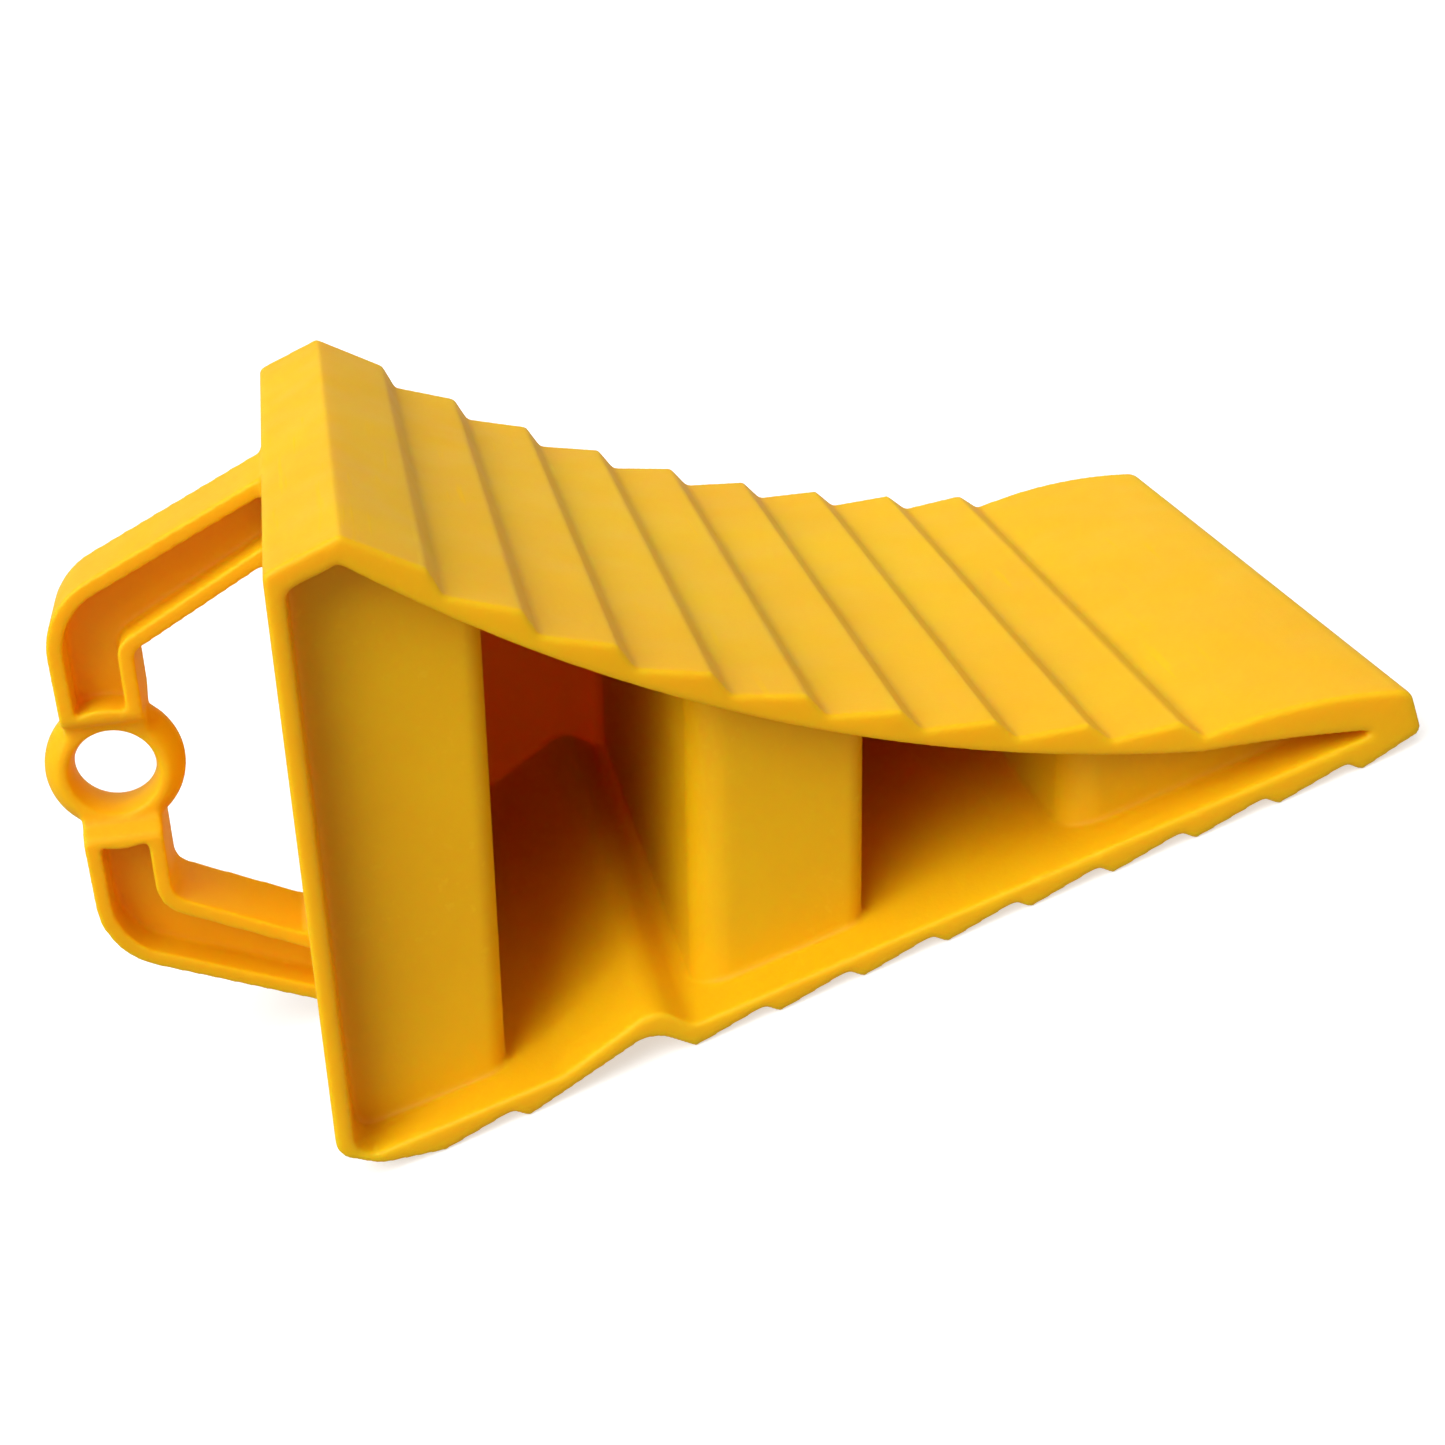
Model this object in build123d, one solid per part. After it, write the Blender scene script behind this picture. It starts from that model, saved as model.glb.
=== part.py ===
from build123d import *
from math import cos, hypot, radians, sin
import os

# Wheel chock: a hollow wedge moulded in one shot of tough plastic, with a
# carrying handle on its back. Every node is one wall, rib, tooth or rim of
# that moulding, and neighbours meet face to face with no gap.
#
# Side outlines are (x, z) points in millimetres. While drawing, x = 0 is the
# first tooth tip of the sole, the toe is at +X and z = 0 is the ground. The
# width runs along Y, centred on y = 0. At the end everything is moved along X
# so that the origin lies under the middle of the bounding box.

# ---- driving dimensions ----------------------------------------------------
width = 120.0
wall = 2.7

# Sole: a serrated plate with one arched channel across it
pitch = 13.35
tooth_depth = 1.7
tooth_land = 0.8
step_run = 2.1
last_tooth = 11
channel_teeth = (1, 3)
plate_top = 4.0
front_plate_top = 3.5
arch_foot = (20.0, plate_top)
arch_crown = (36.2, 8.5)
arch_heel = (40.6, front_plate_top)
arch_bends = [6.0, 4.5, 2.5]
arch_underside = (34.6, 4.9)
arch_underside_bend = 5.5
first_notch = -8.0
last_notch = 154.9

# Back wall: leans towards the toe and turns in at its foot
wall_foot = (-14.7, 6.0)
wall_head = (11.6, 91.4)
ridge = (23.0, 92.5)
heel_low = (-9.0, tooth_depth)
heel_radii = [3.0, 5.0]
heel_top = 7.0
heel_front = -3.0
brow_start = 77.0
brow_bend = 2.0
ridge_bend = 1.2

# Tread: a sheet bent to a circle that cups the tyre, with saw-tooth steps
tread_centre = (206.3, 232.2)
tread_radius = 231.6
sheet = 2.4
tread_start = -142.19
step_angle = 3.529
step_count = 9
tip_share = 0.735
tip_height = 2.47

# Toe: solid nose ahead of the slit where the tread and the sole run together
nose_x = 156.9
toe_top = (155.4, 9.8)
toe_crown = (139.5, 14.1)
toe_brow = 8.8
toe_bend = 1.5
slit_x = 151.5

# Folded web inside the wedge
web_lean = 0.345
near_recess = 8.7
far_recess = 6.0
soft_bend = 6.0
tight_bend = 3.2
pocket_faces = (10.8, 41.2, 68.9, 101.3)

# Handle: bent I-section loop, cut off by the back wall
handle_width = 16.0
flange = 2.5
handle_web = 2.4
handle_bend = 13.0
handle_head = (24.0, 92.3)
upper_knuckle = (-28.2, 84.3)
lower_knuckle = (-44.1, 27.3)
handle_foot = (-14.9, 3.6)
opening_head = (20.0, 80.4)
opening_top = (-18.0, 72.4)
opening_bottom = (-30.0, 32.1)
opening_foot = (-4.0, 8.5)
opening_radii = [0, 1.5, 3.5, 0]

# Eyelet in the grip, and the necks and bridges that join it to the flanges
eyelet_centre = (-29.9, 54.3)
eyelet_radius = 11.0
eyelet_depth = 9.6
bead_shoulder = (10.3, 3.0)
mouth_rim = 8.6
hole_radius = 6.4
hole_land = 1.0
hole_flare = (6.7, 3.0)
hole_mouth = 7.3
neck_start = 8.0
neck_end = 10.0
neck_bend = 1.5
bridge_radius = 11.9

half_width = width / 2
os.makedirs("parts", exist_ok=True)


# ---- points and outlines ---------------------------------------------------
wall_height = hypot(wall_head[0] - wall_foot[0], wall_head[1] - wall_foot[1])
wall_dir = (
    (wall_head[0] - wall_foot[0]) / wall_height,
    (wall_head[1] - wall_foot[1]) / wall_height,
)


def on_wall(height, inset=0.0):
    """Point at a height along the back wall's outer face, set into the wall."""
    x = wall_foot[0] + wall_dir[0] * height + wall_dir[1] * inset
    z = wall_foot[1] + wall_dir[1] * height - wall_dir[0] * inset
    return (x, z)


def on_tread(steps, radius):
    """Point on a circle about the tread centre, counted in steps from the ridge."""
    angle = radians(tread_start + steps * step_angle)
    x = tread_centre[0] + radius * cos(angle)
    z = tread_centre[1] + radius * sin(angle)
    return (x, z)


def tread_arc(first, last, radius):
    """Arc about the tread centre between two step positions."""
    middle = on_tread((first + last) / 2, radius)
    return ThreePointArc(on_tread(first, radius), middle, on_tread(last, radius))


def side_prism(outline, near=-half_width, far=half_width):
    """Solid with an (x, z) outline that reaches from y = near to y = far."""
    face = Plane.XZ * make_face(outline)
    return extrude(Pos(0, near, 0) * face, amount=far - near, dir=(0, 1, 0))


nodes = {}

# ---- shell: heel, back wall, brow ------------------------------------------
underside = tread_radius + sheet
sheet_root = on_tread(0, underside)
inner_foot = (plate_top - wall_foot[1] + wall_dir[0] * wall) / wall_dir[1]

heel_outside = FilletPolyline(
    on_wall(heel_top), wall_foot, heel_low, (heel_front, tooth_depth), radius=heel_radii
)
heel_inside = FilletPolyline(
    (heel_front, plate_top),
    on_wall(inner_foot, wall),
    on_wall(heel_top, wall),
    radius=wall,
)
nodes["heel"] = side_prism(
    heel_outside
    + Line((heel_front, tooth_depth), (heel_front, plate_top))
    + heel_inside
    + Line(on_wall(heel_top, wall), on_wall(heel_top))
)

wall_inside = Line(on_wall(heel_top, wall), on_wall(brow_start, wall))
nodes["back_wall"] = side_prism(
    wall_inside
    + Polyline(
        on_wall(brow_start, wall),
        on_wall(brow_start),
        on_wall(heel_top),
        on_wall(heel_top, wall),
    )
)

brow_inside = FilletPolyline(
    on_wall(brow_start, wall), on_wall(wall_height - wall, wall), sheet_root, radius=brow_bend
)
nodes["brow"] = side_prism(
    brow_inside
    + Polyline(sheet_root, on_tread(0, tread_radius), ridge)
    + FilletPolyline(ridge, wall_head, on_wall(brow_start), radius=ridge_bend)
    + Line(on_wall(brow_start), on_wall(brow_start, wall))
)

# ---- tread sheet and its steps ---------------------------------------------
sheet_inside = tread_arc(0, step_count, underside)
nodes["tread_sheet"] = side_prism(
    sheet_inside
    + Line(on_tread(step_count, underside), on_tread(step_count, tread_radius))
    + tread_arc(step_count, 0, tread_radius)
    + Line(on_tread(0, tread_radius), sheet_root)
)

for step in range(1, step_count + 1):
    valley_above = on_tread(step - 1, tread_radius)
    valley_below = on_tread(step, tread_radius)
    tip = on_tread(step - 1 + tip_share, tread_radius - tip_height)
    crest = [valley_above, tip, valley_below]
    if step == 1:
        crest.insert(1, ridge)
    nodes[f"tread_step_{step:02d}"] = side_prism(
        Polyline(*crest) + tread_arc(step, step - 1, tread_radius)
    )

# ---- toe -------------------------------------------------------------------
slit_z = tread_centre[1] - (underside**2 - (tread_centre[0] - slit_x) ** 2) ** 0.5
slit_end = (slit_x, slit_z)
tread_end = on_tread(step_count, tread_radius)
sheet_end = on_tread(step_count, underside)
toe_inside = RadiusArc(slit_end, sheet_end, -underside)
nodes["toe"] = side_prism(
    toe_inside
    + Line(sheet_end, tread_end)
    + ThreePointArc(tread_end, toe_crown, toe_top)
    + FilletPolyline(
        toe_top,
        (nose_x, toe_brow),
        (nose_x, tooth_depth),
        (slit_x, tooth_depth),
        radius=toe_bend,
    )
    + Line((slit_x, tooth_depth), slit_end)
)


# ---- sole: plates, arched channel and serrations ---------------------------
def tooth_start(number):
    """First point of a tooth's flat land on the ground."""
    return number * pitch - tooth_land / 2


def tooth_end(number):
    """Last point of a tooth's flat land on the ground."""
    return number * pitch + tooth_land / 2


def tooth_notch(number):
    """Notch ahead of a tooth, where the step up to the next tooth starts."""
    return (number + 1) * pitch - step_run


channel_start = tooth_end(channel_teeth[0])
channel_end = tooth_start(channel_teeth[1])
front_start = channel_end + sheet

rear_plate_top = Line((heel_front, plate_top), (channel_start, plate_top))
nodes["sole_plate_rear"] = side_prism(
    rear_plate_top
    + Polyline(
        (channel_start, plate_top),
        (channel_start, tooth_depth),
        (heel_front, tooth_depth),
        (heel_front, plate_top),
    )
)

channel_top = FilletPolyline(
    (channel_start, plate_top),
    arch_foot,
    arch_crown,
    arch_heel,
    (front_start, front_plate_top),
    radius=arch_bends,
)
nodes["sole_channel"] = side_prism(
    channel_top
    + Polyline(
        (front_start, front_plate_top),
        (front_start, tooth_depth),
        (channel_end, tooth_depth),
        (channel_end, 0),
    )
    + FilletPolyline(
        (channel_end, 0), arch_underside, (channel_start, 0), radius=arch_underside_bend
    )
    + Line((channel_start, 0), (channel_start, plate_top))
)

front_plate_line = Line((front_start, front_plate_top), slit_end)
nodes["sole_plate_front"] = side_prism(
    front_plate_line
    + Polyline(
        slit_end,
        (slit_x, tooth_depth),
        (front_start, tooth_depth),
        (front_start, front_plate_top),
    )
)

tooth_numbers = [n for n in range(last_tooth + 1) if n != channel_teeth[0] + 1]
for number in tooth_numbers:
    rear_notch = tooth_notch(number - 1)
    front_notch = tooth_notch(number)
    if number == 0:
        rear_notch = first_notch
    if number == channel_teeth[0]:
        front_notch = channel_start
    if number == channel_teeth[1]:
        rear_notch = channel_end
    if number == last_tooth:
        front_notch = last_notch
    nodes[f"sole_tooth_{number:02d}"] = side_prism(
        Polyline(
            (rear_notch, tooth_depth),
            (tooth_start(number), 0),
            (tooth_end(number), 0),
            (front_notch, tooth_depth),
            (rear_notch, tooth_depth),
        )
    )

# ---- folded web: panels near either side joined by leaning cross walls ------
hollow = side_prism(
    heel_inside
    + wall_inside
    + brow_inside
    + sheet_inside
    + toe_inside
    + front_plate_line
    + channel_top
    + rear_plate_top
)

near_face = -half_width + near_recess
far_face = half_width - far_recess
wall_run = wall * hypot(1, web_lean)
beyond = 400.0

# The web zigzags in plan: its near side turns in at each pocket, and its far
# side follows one wall thickness behind. Each bend lists its outer corner, its
# inner corner and its outer radius. A near bend is tight where a pocket starts.
near_side = [(-beyond, near_face)]
far_side = [(-beyond, near_face + wall)]
bends = []
for index, face_x in enumerate(pocket_faces):
    if index % 2 == 0:
        back_x = face_x - wall_run
        near_side += [(face_x, near_face), (face_x, far_face - wall)]
        far_side += [(back_x, near_face + wall), (back_x, far_face)]
        bends.append((near_side[-2], far_side[-2], tight_bend))
    else:
        back_x = face_x + wall_run
        near_side += [(face_x, far_face - wall), (face_x, near_face)]
        far_side += [(back_x, far_face), (back_x, near_face + wall)]
        bends.append((near_side[-1], far_side[-1], soft_bend))
    far_outer = far_side[-1] if index % 2 == 0 else far_side[-2]
    far_inner = near_side[-1] if index % 2 == 0 else near_side[-2]
    bends.append((far_outer, far_inner, soft_bend))
near_side.append((beyond, near_face))
far_side.append((beyond, near_face + wall))

web_plan = make_face(Polyline(*near_side, *reversed(far_side), near_side[0]))
for outer_corner, inner_corner, radius in bends:
    for corner, bend_radius in ((outer_corner, radius), (inner_corner, radius - wall)):
        at_corner = web_plan.vertices().sort_by_distance((*corner, 0))[0]
        web_plan = fillet(at_corner, bend_radius)

lean_margin = 5.0
lean_height = 110.0
web_foot = Pos(-lean_margin * web_lean, 0, -lean_margin) * web_plan
web = extrude(web_foot, amount=lean_height * hypot(1, web_lean), dir=(web_lean, 0, 1))
web = web & hollow

near_cut = near_face + soft_bend
far_cut = far_face - soft_bend


def across(y_from, y_to):
    """Zone of the whole chock between two distances across the width."""
    return Pos(0, (y_from + y_to) / 2, 0) * Box(beyond, y_to - y_from, beyond)


web_zones = {
    "near_panel": across(-half_width, near_cut),
    "cross_wall": across(near_cut, far_cut),
    "far_panel": across(far_cut, half_width),
}
for name, zone in web_zones.items():
    for index, solid in enumerate((web & zone).solids().sort_by(Axis.X), start=1):
        nodes[f"{name}_{index}"] = solid

# ---- handle: bent I-section loop with an eyelet in its grip -----------------
# Side outlines of the loop and of its opening. Both run on into the body,
# where the wedge's own outline cuts them off.
zone_depth = 60.0
zone_height = 110.0
behind_wall = (zone_depth, tooth_depth)
above_wall = (zone_depth, zone_height)
wedge_zone = side_prism(
    FilletPolyline(
        on_wall(zone_height),
        wall_foot,
        heel_low,
        behind_wall,
        above_wall,
        radius=[0, *heel_radii, 0, 0],
        close=True,
    )
)
loop_face = make_face(
    FilletPolyline(
        handle_head,
        upper_knuckle,
        lower_knuckle,
        handle_foot,
        arch_foot,
        radius=[0, handle_bend, handle_bend, 0, 0],
        close=True,
    )
)
opening_face = make_face(
    FilletPolyline(
        opening_head,
        opening_top,
        opening_bottom,
        opening_foot,
        radius=opening_radii,
        close=True,
    )
)
loop_core = offset(loop_face, amount=-flange, kind=Kind.INTERSECTION)
opening_rim = offset(opening_face, amount=flange, kind=Kind.INTERSECTION)


def handle_prism(face, depth):
    """Solid of a side face, centred on the handle's middle plane."""
    solid = extrude(Pos(0, -depth / 2, 0) * (Plane.XZ * face), amount=depth, dir=(0, 1, 0))
    return solid - wedge_zone


# The eyelet is a round bead: widest on the middle plane, with flat mouths, and
# its hole flares from a narrow land to either mouth.
half_depth = eyelet_depth / 2
bead_side = (
    Line((0, -half_depth), (mouth_rim, -half_depth))
    + ThreePointArc(
        (mouth_rim, -half_depth), (bead_shoulder[0], -bead_shoulder[1]), (eyelet_radius, 0)
    )
    + ThreePointArc((eyelet_radius, 0), bead_shoulder, (mouth_rim, half_depth))
    + Polyline((mouth_rim, half_depth), (0, half_depth), (0, -half_depth))
)
hole_side = (
    Line((0, -half_depth), (hole_mouth, -half_depth))
    + ThreePointArc(
        (hole_mouth, -half_depth), (hole_flare[0], -hole_flare[1]), (hole_radius, -hole_land)
    )
    + Line((hole_radius, -hole_land), (hole_radius, hole_land))
    + ThreePointArc((hole_radius, hole_land), hole_flare, (hole_mouth, half_depth))
    + Polyline((hole_mouth, half_depth), (0, half_depth), (0, -half_depth))
)
eyelet_place = Pos(eyelet_centre[0], 0, eyelet_centre[1])
bead = eyelet_place * revolve(make_face(bead_side), axis=Axis.Y)
hole = eyelet_place * revolve(make_face(hole_side), axis=Axis.Y)
nodes["eyelet"] = bead - hole

# Seen along the grip, flanges and bridges narrow to the eyelet's depth close
# to it.
grip_run = opening_top[0] - opening_bottom[0]
grip_rise = opening_top[1] - opening_bottom[1]
grip_plane = Plane(
    origin=(eyelet_centre[0], 0, eyelet_centre[1]),
    x_dir=(grip_run, 0, grip_rise),
    z_dir=(-grip_rise, 0, grip_run),
)
reach = 120.0
half_handle = handle_width / 2
quarter = [(neck_start, half_depth), (neck_end, half_handle), (reach, half_handle)]
neck_outline = FilletPolyline(
    *[(x, -y) for x, y in quarter],
    *[(x, y) for x, y in reversed(quarter)],
    *[(-x, y) for x, y in quarter],
    *[(-x, -y) for x, y in reversed(quarter)],
    radius=[neck_bend, neck_bend, 0, 0, neck_bend, neck_bend] * 2,
    close=True,
)
necked = extrude(grip_plane * make_face(neck_outline), amount=reach, both=True)


def upper_and_lower(name, solid):
    """Store the two halves of a handle feature that the eyelet divides."""
    lower, upper = solid.solids().sort_by(Axis.Z)
    nodes[f"{name}_upper"] = upper
    nodes[f"{name}_lower"] = lower


outer_flange = handle_prism(loop_face - loop_core, handle_width) & necked
inner_flange = handle_prism(opening_rim - opening_face, handle_width) & necked
upper_and_lower("handle_outer_flange", outer_flange - bead)
upper_and_lower("handle_inner_flange", inner_flange - bead)

# Solid bridges, round as seen from the side, close the channel at the eyelet.
channel_face = loop_core - opening_rim
bridge_disc = eyelet_place * (Rot(90, 0, 0) * Cylinder(bridge_radius, width))
bridges = handle_prism(channel_face, handle_width) & necked & bridge_disc
upper_and_lower("handle_bridge", bridges - bead)
upper_and_lower("handle_web", handle_prism(channel_face, handle_web) - bridge_disc)

# ---- move to the origin and write ------------------------------------------
box = Compound(children=[Compound(solid.solids()) for solid in nodes.values()]).bounding_box()
to_origin = Pos(-(box.min.X + box.max.X) / 2, 0, 0)
for name, solid in nodes.items():
    export_step(to_origin * solid, f"parts/{name}.step")
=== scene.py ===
import math
import bpy
from mathutils import Matrix, Vector


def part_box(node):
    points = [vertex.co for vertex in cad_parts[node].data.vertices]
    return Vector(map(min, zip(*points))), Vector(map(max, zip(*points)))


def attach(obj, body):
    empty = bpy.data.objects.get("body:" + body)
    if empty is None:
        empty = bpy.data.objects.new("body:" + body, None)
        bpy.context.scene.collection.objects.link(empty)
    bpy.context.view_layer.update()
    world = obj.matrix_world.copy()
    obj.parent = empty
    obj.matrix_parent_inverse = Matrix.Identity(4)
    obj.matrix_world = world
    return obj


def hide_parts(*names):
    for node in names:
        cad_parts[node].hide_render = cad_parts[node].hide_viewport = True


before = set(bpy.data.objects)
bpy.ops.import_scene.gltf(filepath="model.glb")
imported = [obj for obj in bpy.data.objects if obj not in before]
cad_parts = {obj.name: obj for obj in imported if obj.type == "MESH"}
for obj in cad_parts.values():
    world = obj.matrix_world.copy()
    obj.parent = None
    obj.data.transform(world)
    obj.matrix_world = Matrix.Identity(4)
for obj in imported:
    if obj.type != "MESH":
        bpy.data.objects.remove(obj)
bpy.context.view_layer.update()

# ---- Camera -----------------------------------------------------------------
# A long lens looks down on the near side of the chock. The camera is rolled, so
# the sole climbs to the right.
camera_data = bpy.data.cameras.new("camera")
camera_data.sensor_width = 36.0
camera_data.lens = 59.2
camera_data.shift_x = 0.0061
camera_data.shift_y = 0.0070
camera = bpy.data.objects.new("camera", camera_data)
camera.matrix_world = Matrix((
    (0.9243, 0.3809, -0.0262, -0.00682),
    (-0.1771, 0.3671, -0.9132, -0.36302),
    (-0.3382, 0.8486, 0.4067, 0.18078),
    (0, 0, 0, 1),
))
bpy.context.scene.collection.objects.link(camera)
bpy.context.scene.camera = camera

# ---- Wedge shell ------------------------------------------------------------
# The outside of the wedge: back wall, brow, tread sheet, toe and sole, one
# closed band of plastic under 3 mm thick. The mould's halves part sideways, so
# the wedge is open on both of its sides.
SHELL = ["heel", "back_wall", "brow", "tread_sheet", "toe"]
SHELL += ["sole_plate_rear", "sole_channel", "sole_plate_front"]
merge_distance = 0.000002


def copy_walls(name, nodes):
    """Copies packed walls into one new object and merges their corners."""
    bpy.ops.object.select_all(action="DESELECT")
    for node in nodes:
        wall = bpy.data.objects.new(name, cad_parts[node].data.copy())
        bpy.context.scene.collection.objects.link(wall)
        wall.select_set(True)
        bpy.context.view_layer.objects.active = wall
    bpy.ops.object.join()
    bpy.context.object.name = name
    bpy.ops.object.mode_set(mode="EDIT")
    bpy.ops.mesh.select_all(action="SELECT")
    bpy.ops.mesh.remove_doubles(threshold=merge_distance)
    bpy.ops.object.mode_set(mode="OBJECT")
    return bpy.context.object


def named(prefix):
    """Packed walls whose names start alike."""
    return sorted(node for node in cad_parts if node.startswith(prefix))


shell = copy_walls("wedge_shell", SHELL)

# ---- Tread steps and sole teeth ---------------------------------------------
# Nine saw-tooth steps grip the tyre and eleven shallow teeth grip the ground.
# They are part of the same moulding and run its whole width.
STEPS = named("tread_step_")
TEETH = named("sole_tooth_")
steps = copy_walls("tread_steps", STEPS)
teeth = copy_walls("sole_teeth", TEETH)

# ---- Folded web -------------------------------------------------------------
# One wall zigzags through the hollow wedge and carries the load from the tread
# to the sole. It leans with the back wall, and opens pockets to either side.
WEB = named("near_panel_") + named("cross_wall_") + named("far_panel_")
web = copy_walls("folded_web", WEB)

# ---- Handle -----------------------------------------------------------------
# A bent I-section loop on the back wall, with a round eyelet in its grip for a
# rope. It is moulded on, and small fillets fill the corners where it leaves
# the wall.
UPPER_ARM = ["handle_outer_flange_upper", "handle_inner_flange_upper"]
UPPER_ARM += ["handle_web_upper"]
LOWER_ARM = ["handle_outer_flange_lower", "handle_inner_flange_lower"]
LOWER_ARM += ["handle_web_lower"]
EYELET = ["eyelet", "handle_bridge_upper", "handle_bridge_lower"]
handle = copy_walls("handle", UPPER_ARM + LOWER_ARM + EYELET)

flange_low, flange_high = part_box("handle_inner_flange_upper")
fillet_share = 0.94
fillet_width = fillet_share * (flange_high.y - flange_low.y)


def root_fillet(name, corner, towards, size, proud):
    """Block in a corner of the handle's opening, standing this far out of it.

    One face looks out of the corner, at this many degrees from +X towards +Z.
    """
    facing = math.radians(towards)
    out = Vector((math.cos(facing), 0, math.sin(facing)))
    bpy.ops.object.select_all(action="DESELECT")
    bpy.ops.mesh.primitive_cube_add(
        size=size,
        location=Vector(corner) + out * (proud - size / 2),
        rotation=(0, -facing, 0),
        scale=(1, fillet_width / size, 1),
    )
    bpy.context.object.name = name
    bpy.ops.object.transform_apply(location=True, rotation=True, scale=True)
    return bpy.context.object


opening_top = (-0.04991, 0, 0.07775)
opening_bottom = (-0.06907, 0, 0.01554)
upper_fillet = root_fillet(
    "fillet_upper", opening_top, towards=222.4, size=0.0030, proud=0.0018
)
lower_fillet = root_fillet(
    "fillet_lower", opening_bottom, towards=105.3, size=0.0034, proud=0.0021
)

# ---- One shot in the mould --------------------------------------------------
# The chock is injected in one shot, so its walls run into each other through
# small radii and no edge is sharp. The parts above are fused to one skin, which
# is relaxed until its corners have those radii.
bpy.ops.object.select_all(action="DESELECT")
for part in [shell, steps, teeth, web, handle, upper_fillet, lower_fillet]:
    part.select_set(True)
bpy.context.view_layer.objects.active = shell
bpy.ops.object.join()
moulding = bpy.context.object
moulding.name = "chock_moulding"


def finish_with(kind, **settings):
    """Gives the active piece a modifier with these settings and applies it."""
    modifier = bpy.context.object.modifiers.new(kind.lower(), kind)
    for name, value in settings.items():
        setattr(modifier, name, value)
    bpy.ops.object.modifier_apply(modifier=modifier.name)


# The skin's cell in metres, its rounds of relaxing and its triangles at the end.
skin_cell = 0.00042
skin_passes = 8
skin_triangles = 196_000
relax_share = 0.5
neutral_weight = 50
finish_with("REMESH", mode="VOXEL", voxel_size=skin_cell, use_smooth_shade=True)
finish_with("SMOOTH", factor=relax_share, iterations=skin_passes)
skin_quads = len(moulding.data.polygons)
finish_with("DECIMATE", ratio=skin_triangles / (2 * skin_quads))
finish_with("WEIGHTED_NORMAL", weight=neutral_weight)

# The finish is safety-yellow plastic, coloured all through: satin and a little
# translucent, with the mould's fine grain, slow flow waves, a few faint scuffs,
# and outer edges painted paler, partly as wear and partly as painted highlight.
YELLOW = (0.875, 0.468, 0.003, 1)
FLOW_YELLOW = (0.845, 0.430, 0.0025, 1)
# Paler yellow, used for scuff wear and for the outer edges' wear and painted
# highlight.
WORN_AND_HIGHLIGHT_YELLOW = (0.93, 0.56, 0.016, 1)

plastic = bpy.data.materials.new("safety_yellow_plastic")
plastic.use_nodes = True
tree = plastic.node_tree
shader = tree.nodes["Principled BSDF"]
shader.inputs["Specular IOR Level"].default_value = 0.17
shader.inputs["Subsurface Weight"].default_value = 0.7
shader.inputs["Subsurface Radius"].default_value = (1.0, 0.38, 0.03)
shader.inputs["Subsurface Scale"].default_value = 0.007
place = tree.nodes.new("ShaderNodeTexCoord").outputs["Object"]


def noise(scale, detail, vector=place):
    """Noise with this many features to the metre."""
    node = tree.nodes.new("ShaderNodeTexNoise")
    node.inputs["Scale"].default_value = scale
    node.inputs["Detail"].default_value = detail
    tree.links.new(vector, node.inputs["Vector"])
    return node.outputs["Fac"]


def spread(source, low, high, to_low, to_high):
    """Maps a source's range onto another one, clamped."""
    node = tree.nodes.new("ShaderNodeMapRange")
    tree.links.new(source, node.inputs["Value"])
    node.inputs["From Min"].default_value = low
    node.inputs["From Max"].default_value = high
    node.inputs["To Min"].default_value = to_low
    node.inputs["To Max"].default_value = to_high
    return node.outputs["Result"]


def wire(source, socket):
    """Links an output to a socket, or sets the socket to a constant."""
    if isinstance(source, (float, tuple)):
        socket.default_value = source
    else:
        tree.links.new(source, socket)


# Places of a colour Mix node's two inputs and its output among its sockets.
first_colour, second_colour, mixed_colour = 6, 7, 2


def tint(share, first, second):
    """Goes from one colour to another by a share."""
    node = tree.nodes.new("ShaderNodeMix")
    node.data_type = "RGBA"
    wire(share, node.inputs["Factor"])
    wire(first, node.inputs[first_colour])
    wire(second, node.inputs[second_colour])
    return node.outputs[mixed_colour]


def combine(operation, first, second):
    """Math node on two outputs or numbers."""
    node = tree.nodes.new("ShaderNodeMath")
    node.operation = operation
    wire(first, node.inputs[0])
    wire(second, node.inputs[1])
    return node.outputs[0]


def bump(height, strength, distance, under=None):
    """Bump with this depth in metres, on top of another one."""
    node = tree.nodes.new("ShaderNodeBump")
    node.inputs["Strength"].default_value = strength
    node.inputs["Distance"].default_value = distance
    tree.links.new(height, node.inputs["Height"])
    if under is not None:
        tree.links.new(under, node.inputs["Normal"])
    return node.outputs["Normal"]


flow = noise(scale=28.0, detail=3.0)
waves = noise(scale=95.0, detail=1.0)
grain = noise(scale=1500.0, detail=2.0)

# Thin scratches run nearly across the width, in patches where wheels and hands
# rub.
scratch_stretch = (1.0, 0.06, 1.0)
scratch_lean = (0.0, 0.0, 0.22)
stretch = tree.nodes.new("ShaderNodeMapping")
stretch.inputs["Scale"].default_value = scratch_stretch
stretch.inputs["Rotation"].default_value = scratch_lean
tree.links.new(place, stretch.inputs["Vector"])
scratch_noise = noise(scale=620.0, detail=2.0, vector=stretch.outputs["Vector"])
scratches = spread(scratch_noise, low=0.62, high=0.72, to_low=0.0, to_high=1.0)
patch_noise = noise(scale=40.0, detail=2.0)
rubbed_patches = spread(patch_noise, low=0.50, high=0.64, to_low=0.0, to_high=1.0)
scuffs = combine("MULTIPLY", scratches, rubbed_patches)

# Outer edges are painted paler, more in some places than in others: partly wear,
# and partly a painted highlight where rounded edges would catch the light.
pointiness = tree.nodes.new("ShaderNodeNewGeometry").outputs["Pointiness"]
edges = spread(pointiness, low=0.515, high=0.575, to_low=0.0, to_high=1.0)
edge_patch_noise = noise(scale=160.0, detail=3.0)
edge_patches = spread(edge_patch_noise, low=0.35, high=0.60, to_low=0.25, to_high=1.0)
pale_edge_wear_and_highlight = combine("MULTIPLY", edges, edge_patches)

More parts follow.
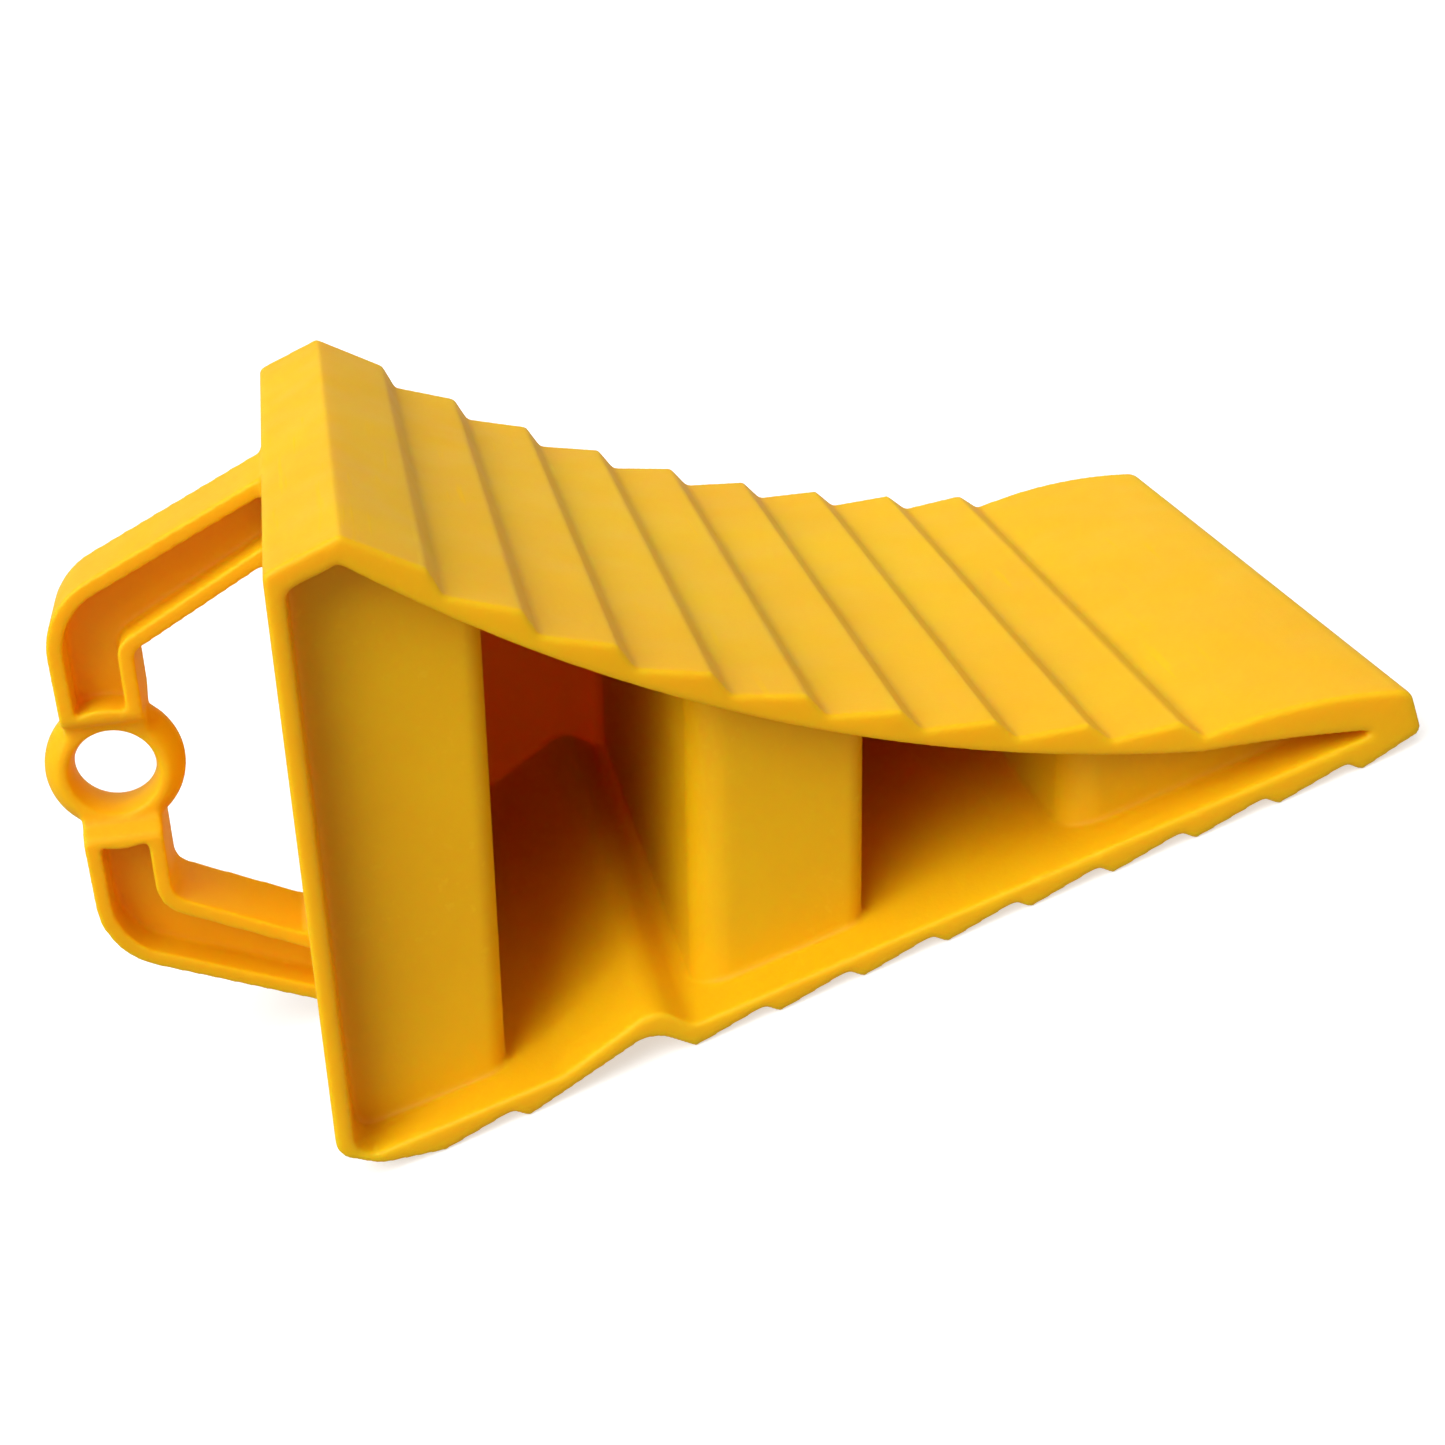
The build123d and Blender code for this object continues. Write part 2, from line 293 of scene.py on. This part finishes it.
edge_paleness = 0.45
scuff_paleness = 0.30
flow_share = spread(flow, low=0.36, high=0.64, to_low=0.0, to_high=1.0)
edge_share = combine("MULTIPLY", pale_edge_wear_and_highlight, edge_paleness)
scuff_share = combine("MULTIPLY", scuffs, scuff_paleness)
colour = tint(flow_share, YELLOW, FLOW_YELLOW)
# Outer edges paled: wear together with a painted highlight.
colour = tint(edge_share, colour, WORN_AND_HIGHLIGHT_YELLOW)
colour = tint(scuff_share, colour, WORN_AND_HIGHLIGHT_YELLOW)
tree.links.new(colour, shader.inputs["Base Color"])

scuff_roughness = 0.15
roughness = spread(waves, low=0.3, high=0.7, to_low=0.46, to_high=0.56)
roughness = combine("ADD", roughness, combine("MULTIPLY", scuffs, scuff_roughness))
tree.links.new(roughness, shader.inputs["Roughness"])

relief = bump(waves, strength=0.45, distance=0.00014)
relief = bump(grain, strength=0.55, distance=0.00006, under=relief)
relief = bump(scuffs, strength=0.35, distance=0.00004, under=relief)
tree.links.new(relief, shader.inputs["Normal"])

moulding.data.materials.clear()
moulding.data.materials.append(plastic)
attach(moulding, "root")
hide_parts(*SHELL, *STEPS, *TEETH, *WEB, *UPPER_ARM, *LOWER_ARM, *EYELET)

# ---- Studio -----------------------------------------------------------------
# A plain white floor inside a white dome, with soft light from above and from
# the handle's side, and a low light behind that shines through thin walls.
dome_radius = 6.0
floor_drop = 0.0001
sky_strength = 0.42
sun_softness = 1.0


def plain_paint(name, grey, glow):
    """Matt grey paint that also glows white this strongly."""
    paint = bpy.data.materials.new(name)
    paint.use_nodes = True
    coat = paint.node_tree.nodes["Principled BSDF"]
    coat.inputs["Base Color"].default_value = (grey, grey, grey, 1)
    coat.inputs["Roughness"].default_value = 0.9
    coat.inputs["Specular IOR Level"].default_value = 0.0
    coat.inputs["Emission Color"].default_value = (1, 1, 1, 1)
    coat.inputs["Emission Strength"].default_value = glow
    return paint


bpy.ops.object.select_all(action="DESELECT")
bpy.ops.mesh.primitive_plane_add(size=2 * dome_radius, location=(0, 0, -floor_drop))
floor = bpy.context.object
floor.name = "floor"
floor.data.materials.append(plain_paint("pale_floor", 0.55, 0.55))

bpy.ops.object.select_all(action="DESELECT")
bpy.ops.mesh.primitive_uv_sphere_add(segments=48, ring_count=24, radius=dome_radius)
dome = bpy.context.object
dome.name = "white_dome"
dome.data.materials.append(plain_paint("white_dome", 0.0, 1.0))
dome.visible_shadow = False
dome.visible_transmission = False

# Neither lights the chock or shows in its gloss: so much white around it would
# drown its shading.
for backdrop in (floor, dome):
    backdrop.visible_diffuse = False
    backdrop.visible_glossy = False

world = bpy.data.worlds.new("studio")
world.use_nodes = True
sky = world.node_tree.nodes["Background"]
sky.inputs["Color"].default_value = (1, 1, 1, 1)
sky.inputs["Strength"].default_value = sky_strength
bpy.context.scene.world = world


def soft_sun(name, direction, energy):
    """Far light with soft shadow edges that shines from this direction."""
    data = bpy.data.lights.new(name, "SUN")
    data.energy = energy
    data.angle = sun_softness
    sun = bpy.data.objects.new(name, data)
    sun.rotation_euler = Vector(direction).to_track_quat("Z", "Y").to_euler()
    bpy.context.scene.collection.objects.link(sun)
    return sun


soft_sun("key_light", (-0.38, -0.44, 0.81), energy=3.2)
back_light = soft_sun("back_light", (0.15, 0.98, 0.12), energy=1.5)
back_light.visible_glossy = False
bpy.context.scene.view_settings.view_transform = "Standard"
